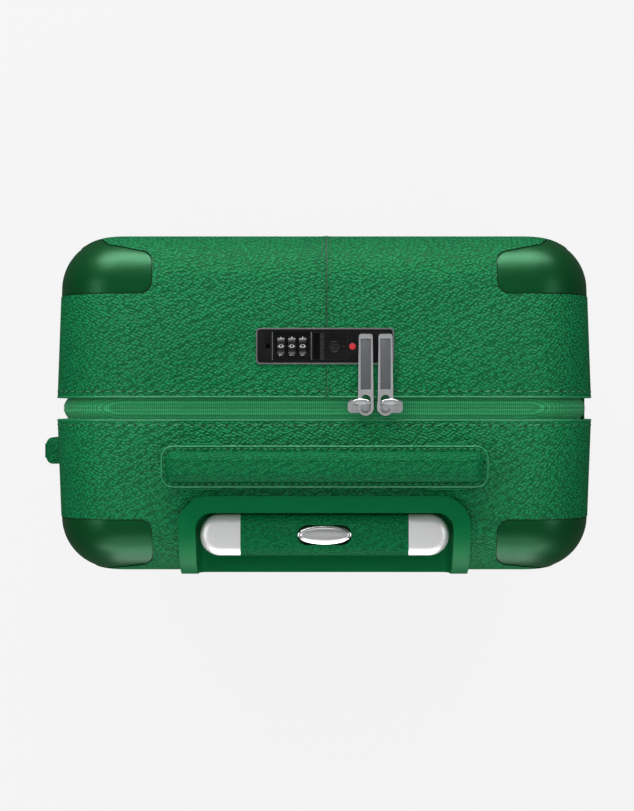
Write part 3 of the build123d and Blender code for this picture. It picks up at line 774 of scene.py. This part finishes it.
# %% The seam down the lid
BEAD_PITCH = 3.9 * MM
seam_bead = new_box((-2.1 * MM, -0.45 * MM, -0.3 * MM), (2.1 * MM, 0.45 * MM, 0.1 * MM))
seam = repeat(seam_bead, clear_of_lock(seam_places(SEAM_X, BEAD_PITCH)))
place_piece(smooth(seam, 40), "lid_seam_groove", "lid", seam_shade)
drop(seam_bead)
lip_bead = new_box((-2.1 * MM, -0.5 * MM, -0.3 * MM), (2.1 * MM, 0.5 * MM, 0.34 * MM))
modify(lip_bead, "BEVEL", width=0.25 * MM, segments=2)
apply_all(lip_bead)
for word, shift in (("left", -0.95), ("right", 0.95)):
    lip = repeat(lip_bead, clear_of_lock(seam_places(SEAM_X + shift * MM, BEAD_PITCH)))
    place_piece(smooth(lip, 60), f"lid_seam_lip_{word}", "lid", case_leather)
drop(lip_bead)
print("seam:", len(seam.data.polygons), "faces in the groove")

# %% [markdown]
# ## Carry handles
# A carry handle is a foam core under leather, sewn down on a wider flat strap: the flat border carries a
# row of stitches and the middle swells up between them. The strap is a box with its corners rounded. The
# pad is a second box whose upper rim is rounded twice, once wide and once small, so that it reads as
# stuffed and not as a block, and its middle is lifted a little.

# %% Carry handle, modelled lying on its back at the origin
STRAP = 2.6 * MM
STRAP_CORNER = 8 * MM
BORDER = 3.9 * MM
PAD_CORNER = 5 * MM
PAD_SHOULDER = 4.6 * MM


def handle_model(length, width, height):
    """A strap and a pad on it, along X, from Z=0 up."""
    flap = new_box((-length / 2, -width / 2, 0), (length / 2, width / 2, STRAP))
    select_edges(flap, along(2))
    bevel_selected(STRAP_CORNER, 8)
    modify(flap, "BEVEL", width=0.9 * MM, segments=3, limit_method="ANGLE", angle_limit=math.radians(50))
    apply_all(flap)
    pad = new_box((-length / 2 + BORDER, -width / 2 + BORDER, STRAP * 0.6),
                  (length / 2 - BORDER, width / 2 - BORDER, height - 1.2 * MM))
    select_edges(pad, along(2))
    bevel_selected(PAD_CORNER, 8)
    select_edges(pad, lambda p, q: p.z > height - 2 * MM and q.z > height - 2 * MM)
    bevel_selected(PAD_SHOULDER, 6)
    select_faces(pad, lambda centre, normal: normal.z > 0.99)
    bpy.ops.mesh.inset(thickness=2.5 * MM)
    bpy.ops.transform.translate(value=(0, 0, 1.0 * MM))
    bpy.ops.object.mode_set(mode="OBJECT")
    modify(pad, "BEVEL", width=0.8 * MM, segments=2, limit_method="ANGLE", angle_limit=math.radians(12))
    apply_all(pad)
    pick(flap)
    pad.select_set(True)
    bpy.context.view_layer.objects.active = flap
    bpy.ops.object.join()
    return smooth(flap, 50)


# %% [markdown]
# ### Strap edges
# The cut edge of the strap is dyed, waxed and polished, and its rounded edge catches the light as a thin
# line all round; the bead's paler colour adds a painted highlight to that. A closed curve with a round
# section, turned into a mesh, lies along it like piping.

# %% Piping, and both carry handles in their places
EDGE_INSET = 0.5 * MM
STITCH_INSET = 2.2 * MM
HANDLE_PITCH_MM = 4.4


def piping(points, radius):
    """A closed round bead along points: a curve with a round section, made a mesh."""
    curve = bpy.data.curves.new("piping", "CURVE")
    curve.dimensions = "3D"
    curve.bevel_depth = radius
    curve.bevel_resolution = 2
    spline = curve.splines.new("POLY")
    spline.points.add(len(points) - 1)
    spline.use_cyclic_u = True
    for target, point in zip(spline.points, points):
        target.co = (*point, 1)
    bead = bpy.data.objects.new("piping", curve)
    bpy.context.scene.collection.objects.link(bead)
    pick(bead)
    bpy.ops.object.convert(target="MESH")
    return smooth(bpy.context.object, 60)


def stand_in(obj, matrix):
    """Move a finished model to its place in the case."""
    obj.matrix_world = matrix
    return settle(obj)


def at_height(point, z):
    return Vector((point.x, point.y, z))


for word in ("top", "side"):
    low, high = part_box(f"{word}_handle_pad")
    size = high - low
    if word == "top":
        length, width, rise = size.x, size.y, size.z
        base = Vector(((low.x + high.x) / 2, (low.y + high.y) / 2, low.z))
        turn = Matrix.Identity(4)
    else:
        length, width, rise = size.z, size.y, size.x
        base = Vector((low.x, (low.y + high.y) / 2, (low.z + high.z) / 2))
        turn = Matrix.Rotation(math.pi / 2, 4, "Y")
    place = Matrix.Translation(base) @ turn
    pad = handle_model(length, width, rise)
    stand_in(pad, place)
    place_piece(pad, f"{word}_handle_padding", f"{word}_handle", handle_leather,
                (f"{word}_handle_pad",))
    flat = rounded_path(length / 2 - STITCH_INSET, width / 2 - STITCH_INSET, 6 * MM, HANDLE_PITCH_MM / 2 * MM)
    facing = turn.to_3x3()
    turned = [(place @ at_height(p, STRAP), facing @ at_height(a, 0), facing @ Vector((0, 0, 1)))
              for p, a, o in flat]
    stitch_row(f"{word}_handle", turned, f"{word}_handle", HANDLE_PITCH_MM, 0.7)
    rim = rounded_path(length / 2 - EDGE_INSET, width / 2 - EDGE_INSET, STRAP_CORNER - EDGE_INSET, 1.5 * MM)
    bead = piping([place @ at_height(p, STRAP - 0.3 * MM) for p, a, o in rim], 0.55 * MM)
    place_piece(bead, f"{word}_handle_edge", f"{word}_handle", strap_edge_highlight)
    softened(f"{word}_handle_anchors", satin_frame, 1.2, 3)

# %% [markdown]
# ## Turned edges
# The leather is turned over at each rim of the case, and the turned edge shows as a thin smooth roll. It
# is the same kind of bead as on the handles, laid round the whole rim.

# %% Turned edges of the leather
ROLL_RADIUS = 0.75 * MM
ROLL_BACK = 0.55 * MM
ROLL_SUNK = 0.45 * MM
for side, y in (("lid", LID_RIM - ROLL_BACK), ("base", BASE_RIM + ROLL_BACK)):
    rim = [point for point, way, out in rim_places(ROLL_SUNK, y, 3.0 * MM)]
    bead = piping(rim, ROLL_RADIUS)
    place_piece(bead, f"{side}_rim_roll", side, rim_leather)
    print(side, "rim roll of", len(rim), "places")

# %% [markdown]
# ## Trolley grip
# Two satin silver caps hold a leather-covered middle. The release button is a flat domed ellipse in a
# thin bright ring. Both are a disc that is stretched, then extruded in six steps that follow a quarter
# circle, each drawn in a little more than the last.

# %% Grip and button
softened("grip_end_caps", satin_silver, 0.5, 2)
softened("grip_leather", handle_leather, 0.5, 2)
button_low, button_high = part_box("grip_button")
button_mid = (button_low + button_high) / 2


LENS_POINTS = 48
LENS_STEPS = 6
LENS_TURN = math.pi / 2 * 0.96


def lens(half_length, half_width, height, base_z):
    """A domed ellipse: a circle that is stretched, extruded up and drawn in by steps."""
    bpy.ops.object.select_all(action="DESELECT")
    bpy.ops.mesh.primitive_circle_add(vertices=LENS_POINTS, radius=1, fill_type="NGON")
    piece = bpy.context.object
    piece.scale = (half_length, half_width, 1)
    settle(piece)
    pick(piece)
    bpy.ops.object.mode_set(mode="EDIT")
    bpy.ops.mesh.select_all(action="SELECT")
    done = 0.0
    for step in range(1, LENS_STEPS + 1):
        angle = step / LENS_STEPS * LENS_TURN
        rise = height * (math.sin(angle) - done)
        bpy.ops.mesh.extrude_region_move(TRANSFORM_OT_translate={"value": (0, 0, rise)})
        done = math.sin(angle)
        draw_in = math.cos(angle) / math.cos((step - 1) / LENS_STEPS * LENS_TURN)
        bpy.ops.transform.resize(value=(draw_in, draw_in, 1), center_override=(0, 0, 0))
    bpy.ops.object.mode_set(mode="OBJECT")
    piece.location = (button_mid.x, button_mid.y, base_z)
    return smooth(face_out(settle(piece)), 60)


half_length, half_width = (button_high.x - button_low.x) / 2, (button_high.y - button_low.y) / 2
ring = lens(half_length, half_width, 1.4 * MM, button_high.z - 1.3 * MM)
place_piece(ring, "button_ring", "trolley_button", bright_nickel, ("grip_button",))
dome = lens(half_length - 1.0 * MM, half_width - 0.9 * MM, 1.9 * MM, button_high.z - 1.2 * MM)
place_piece(dome, "button_dome", "trolley_button", button_nickel)
print("grip and button done")

# %% [markdown]
# ## Lock
# A black plate in a thin bright frame. Three number dials show through windows with a rail at each end,
# beside a ribbed release block and a key cylinder. The plate, the frame and the moving parts have the
# right shape already and only get eased edges. The thin rails, the strips that close the dials' windows
# above and below, the outline of the key block, its arrow and the key's collar are added.

# %% Lock plate, block and key
softened("lock_body", lock_black, 0.25, 2)
softened("lock_frame", dark_nickel, 0.2, 2)
softened("lock_release", release_black, 0.2, 2)
softened("key_cylinder", black_nickel, 0.2, 2)
softened("lock_mark", red_enamel, 0.2, 3)
RAIL_HALF_LENGTH = 9.3 * MM
RAIL_HALF_WIDTH = 0.3 * MM
RAIL_GAP = 3.3 * MM
dial_1_low, dial_1_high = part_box("dial_1")
dial_3_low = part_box("dial_3")[0]
dial_mid = (dial_1_low + dial_1_high) / 2
plate_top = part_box("lock_body")[1].z
rail_y = (dial_mid.y - RAIL_HALF_LENGTH, dial_mid.y + RAIL_HALF_LENGTH)
for number, x in enumerate((dial_3_low.x - RAIL_GAP, dial_1_high.x + RAIL_GAP)):
    rail = new_box((x - RAIL_HALF_WIDTH, rail_y[0], plate_top - 1.0 * MM),
                   (x + RAIL_HALF_WIDTH, rail_y[1], plate_top + 0.15 * MM))
    modify(rail, "BEVEL", width=0.15 * MM, segments=2)
    place_piece(smooth(apply_all(rail)), f"dial_rail_{number + 1}", "lid", dark_nickel)

COVER_MARGIN = 2.9 * MM
panel_top = plate_top - 1.48 * MM
cover_strips = (("panel", 6.4, 9.4, panel_top), ("edge", 9.34, 11.2, plate_top + 0.02 * MM))
for number, way in enumerate((-1, 1)):
    for part, start, end, top in cover_strips:
        near, far = sorted((dial_mid.y + way * start * MM, dial_mid.y + way * end * MM))
        cover = new_box((dial_3_low.x - COVER_MARGIN, near, panel_top - 0.34 * MM),
                        (dial_1_high.x + COVER_MARGIN, far, top))
        place_piece(cover, f"dial_cover_{part}_{number + 1}", "lid", lock_black)

# %% Key block outline, arrow and collar
key_low, key_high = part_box("key_cylinder")
key_mid = (key_low + key_high) / 2
block_low = Vector((key_mid.x - 8.6 * MM, rail_y[0], plate_top - 0.1 * MM))
block_high = Vector((key_mid.x + 14.6 * MM, rail_y[1], plate_top + 0.18 * MM))
outline = new_box(block_low, block_high)
select_faces(outline, lambda centre, normal: abs(normal.z) > 0.9)
bpy.ops.mesh.delete(type="FACE")
bpy.ops.object.mode_set(mode="OBJECT")
modify(outline, "SOLIDIFY", thickness=0.35 * MM, offset=-1.0)
apply_all(outline)
place_piece(smooth(face_out(outline)), "key_block_outline", "lid", black_nickel)

bpy.ops.object.select_all(action="DESELECT")
bpy.ops.mesh.primitive_cone_add(vertices=3, radius1=1.5 * MM, radius2=1.2 * MM, depth=0.3 * MM,
                                location=(key_mid.x - 6.2 * MM, key_mid.y, plate_top + 0.1 * MM),
                                rotation=(0, 0, math.pi / 2))
place_piece(smooth(settle(bpy.context.object)), "key_arrow", "lid", dial_black)

bpy.ops.object.select_all(action="DESELECT")
bpy.ops.mesh.primitive_torus_add(major_radius=3.5 * MM, minor_radius=0.25 * MM,
                                 major_segments=40, minor_segments=8,
                                 location=(key_mid.x, key_mid.y, plate_top + 0.1 * MM))
place_piece(smooth(settle(bpy.context.object), 60), "key_collar", "lid", black_nickel)
print("lock plate done")

# %% [markdown]
# ### Dials
# The ten digits of a dial are printed round its rim, 36 degrees apart. Each is a text that is given a
# little thickness, made a mesh, stretched wide as such digits are, moved to the top of the dial and
# turned about the axle to its own place. The ten are joined and ride on their dial.

# %% Dials and digits
DIGIT_SIZE = 4.6 * MM
DIGIT_STRETCH = (1.7, 0.72, 1)
INK_LIFT = 0.03 * MM
for number in (1, 2, 3):
    softened(f"dial_{number}", dial_black, 0.15, 2)
    low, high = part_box(f"dial_{number}")
    axle = (low + high) / 2
    radius = (high.z - low.z) / 2
    digits = []
    for value in range(10):
        bpy.ops.object.select_all(action="DESELECT")
        bpy.ops.object.text_add()
        text = bpy.context.object
        text.data.body = str(value)
        text.data.align_x, text.data.align_y = "CENTER", "CENTER"
        text.data.size = DIGIT_SIZE
        text.data.offset = -0.1 * MM
        text.data.extrude = 0.06 * MM
        text.data.resolution_u = 3
        bpy.ops.object.convert(target="MESH")
        text.scale = DIGIT_STRETCH
        settle(text)
        around = Matrix.Rotation(value * math.pi / 5, 4, "X")
        stand_in(text, Matrix.Translation(axle) @ around @ Matrix.Translation((0, 0, radius + INK_LIFT)))
        digits.append(text)
    bpy.ops.object.select_all(action="DESELECT")
    for text in digits:
        text.select_set(True)
    bpy.context.view_layer.objects.active = digits[0]
    bpy.ops.object.join()
    place_piece(digits[0], f"dial_{number}_digits", f"dial_{number}", white_ink)
print("dials done:", len(digits), "digits each")

# %% [markdown]
# ## Zip sliders and pulls
# The pull is a die-cast tab: a bright raised border round a darker brushed panel, with a window at its
# tail that hangs on the slider's bridge. The working model has the tab and its recess. What is added is
# the panel in the recess, and a saddle over the bridge: a short bar whose middle bows towards the lid,
# as the tab's loop pulls it.

# %% Pulls and sliders
PANEL_SPAN = (3.0 * MM, 37.2 * MM)
SADDLE_HALF = 6.2 * MM
SADDLE_WIDTH = 1.35 * MM
SADDLE_BOW = 1.5 * MM
for hand in ("right", "left"):
    softened(f"zip_pull_{hand}", brushed_nickel, 0.3, 3)
    low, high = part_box(f"zip_pull_{hand}")
    mid_x = (low.x + high.x) / 2
    half = (high.x - low.x) / 2 - 1.75 * MM
    panel = new_box((mid_x - half, low.y + PANEL_SPAN[0], high.z - 0.9 * MM),
                    (mid_x + half, low.y + PANEL_SPAN[1], high.z - 0.3 * MM))
    modify(panel, "BEVEL", width=0.15 * MM, segments=2)
    place_piece(smooth(apply_all(panel)), f"pull_panel_{hand}", f"zip_pull_{hand}", dark_nickel)
    softened(f"zip_slider_{hand}", brushed_nickel, 0.35, 3)
    slider_low, slider_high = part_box(f"zip_slider_{hand}")
    slider_x = (slider_low.x + slider_high.x) / 2
    saddle_y = high.y - 8.4 * MM
    saddle = new_box((slider_x - SADDLE_HALF, saddle_y - SADDLE_WIDTH, slider_high.z - 1.0 * MM),
                     (slider_x + SADDLE_HALF, saddle_y + SADDLE_WIDTH, slider_high.z + 0.8 * MM))
    select_edges(saddle, along(2))
    bevel_selected(1.25 * MM, 4)
    select_edges(saddle, along(0))
    bpy.ops.mesh.subdivide(number_cuts=9)
    bpy.ops.object.mode_set(mode="OBJECT")
    for vert in saddle.data.vertices:
        across = (vert.co.x - slider_x) / SADDLE_HALF
        vert.co.y -= (1 - across ** 2) * SADDLE_BOW
    modify(saddle, "BEVEL", width=0.5 * MM, segments=3, limit_method="ANGLE", angle_limit=math.radians(50))
    place_piece(smooth(apply_all(saddle), 50), f"bridge_saddle_{hand}", f"zip_slider_{hand}",
                brushed_nickel)
print("pulls done")

# %% [markdown]
# ## Casters
# Each caster is a moulded nylon fork that turns in a round well, with two wheels on one axle and a dark
# rubber tyre on each. Their shapes are right, so they get eased edges and their finish. The tyres keep
# their turned profile as it is.

# %% Casters and wells
for end in ("front", "rear"):
    for word in ("left", "right"):
        softened(f"{end}_wheel_housing_{word}", satin_green, 0.6, 3)
        softened(f"{end}_{word}_fork", hub_plastic, 0.6, 2)
        softened(f"{end}_{word}_wheels", hub_plastic, 0.5, 2)
        softened(f"{end}_{word}_tyres", tyre_rubber, 0.0)
print("casters done")

# %% [markdown]
# ## Hinge strip
# On its left side the case has no zip to open: a strip of cloth joins the two halves and folds as the lid
# swings. It is a narrow sheet in the channel between the rims, cut into strips along its width.

# %% Hinge strip
STRIP_WALL = 0.9 * MM
STRIP_LAP = 3 * MM
strip_x = MID_X - HALF_W + 2.4 * MM
strip_half = HALF_H - CORNER_R - 12 * MM
strip = new_box((strip_x, LID_RIM - STRIP_LAP, MID_Z - strip_half),
                (strip_x + STRIP_WALL, BASE_RIM + STRIP_LAP, MID_Z + strip_half))
select_edges(strip, along(1))
bpy.ops.mesh.subdivide(number_cuts=14)
bpy.ops.object.mode_set(mode="OBJECT")
modify(strip, "BEVEL", width=0.3 * MM, segments=2, limit_method="ANGLE", angle_limit=math.radians(60))
smooth(face_out(apply_all(strip)))
strip.name = strip.data.name = "hinge_strip"
strip.data.materials.append(zip_cloth)
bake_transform(strip)
print("hinge strip:", len(strip.data.polygons), "faces")

# %% [markdown]
# ## What stays as it is
# The shells, the lining, the straps, the tubes and the hidden metal keep the working model's own shape,
# because it is right, and only get their finish.

# %% Plain nodes keep their shape and get their finish
def finish_node(names, material):
    """Give nodes whose shape is right their material."""
    for node in names:
        mesh = frame["nodes"][node].data
        mesh.materials.clear()
        mesh.materials.append(material)


finish_node(["lid_shell", "base_shell"], shell_plastic)
finish_node(["lid_lining", "base_lining", "lid_pocket"], lining_cloth)
finish_node(["packing_straps"], strap_webbing)
finish_node(["outer_tubes", "middle_tubes", "inner_tubes"], anodised)
finish_node(["tube_foot_bracket", "tube_channel_cover", "grip_core"], nylon_core)
finish_node(["top_handle_core", "side_handle_core"], nylon_core)
finish_node(["base_caster_fixings", "lid_caster_fixings", "dial_axle", "button_spring"], zinc_steel)
print("finished", len(frame["nodes"]), "nodes")
